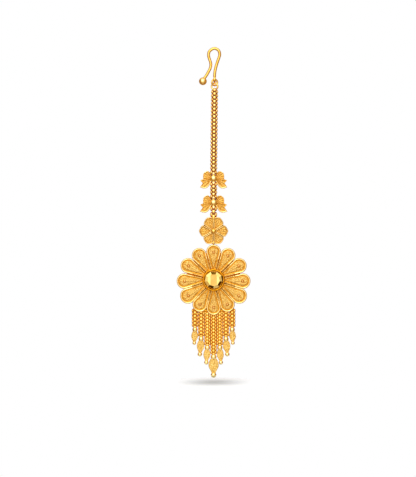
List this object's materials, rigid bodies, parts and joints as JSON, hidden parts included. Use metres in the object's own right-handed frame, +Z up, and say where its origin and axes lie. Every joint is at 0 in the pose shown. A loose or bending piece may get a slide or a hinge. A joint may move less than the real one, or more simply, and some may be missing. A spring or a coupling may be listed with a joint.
{
  "type": "maang tikka forehead ornament",
  "caption": "Hanging forehead jewel: hair hook, link chain with wing motifs, small flower, and a swinging petalled pendant with a fringe of leaf drops.",
  "frame": {"origin": "inside top of the hair hook's bend, where the jewel hangs", "axes": "+Z up along the hanging jewel, the front faces -Y, +X to the viewer's right"},
  "size_m": [0.028, 0.0044, 0.1257],
  "materials": {
    "polished_gold_wire": "polished yellow gold wire",
    "bright_gold_chain": "bright polished yellow gold links",
    "matt_gold_motif": "veined matt gold with bright rims",
    "matt_gold_petals": "sand-textured matt gold pads in bright polished rims",
    "cut_gold_stone": "mirror-polished cut facets",
    "matt_gold_drops": "matt gold leaves with polished beads"
  },
  "bodies": {
    "strand": {"hair_hook": "polished_gold_wire", "hook_jump_ring": "polished_gold_wire", "main_chain_upper": "bright_gold_chain", "main_chain_middle": "bright_gold_chain", "main_chain_lower": "bright_gold_chain", "wing_motif_upper": "matt_gold_motif", "wing_motif_lower": "matt_gold_motif", "small_flower": "matt_gold_petals"},
    "pendant": {"main_flower": "matt_gold_petals", "centre_stone": "cut_gold_stone", "fringe_chain_1": "bright_gold_chain", "fringe_chain_2": "bright_gold_chain", "fringe_chain_3": "bright_gold_chain", "fringe_chain_4": "bright_gold_chain", "fringe_chain_5": "bright_gold_chain", "fringe_chain_6": "bright_gold_chain", "fringe_chain_7": "bright_gold_chain", "leaf_drop_1": "matt_gold_drops", "leaf_drop_2": "matt_gold_drops", "leaf_drop_3": "matt_gold_drops", "leaf_drop_4": "matt_gold_drops", "leaf_drop_5": "matt_gold_drops", "leaf_drop_6": "matt_gold_drops", "leaf_drop_7": "matt_gold_drops"}
  },
  "joints": [
    {"name": "pendant_swing", "type": "hinge", "parent": "strand", "child": "pendant", "pos_m": [0, 0, -0.07335], "axis": [1, 0, 0], "range_deg": [-22, 22]}
  ]
}
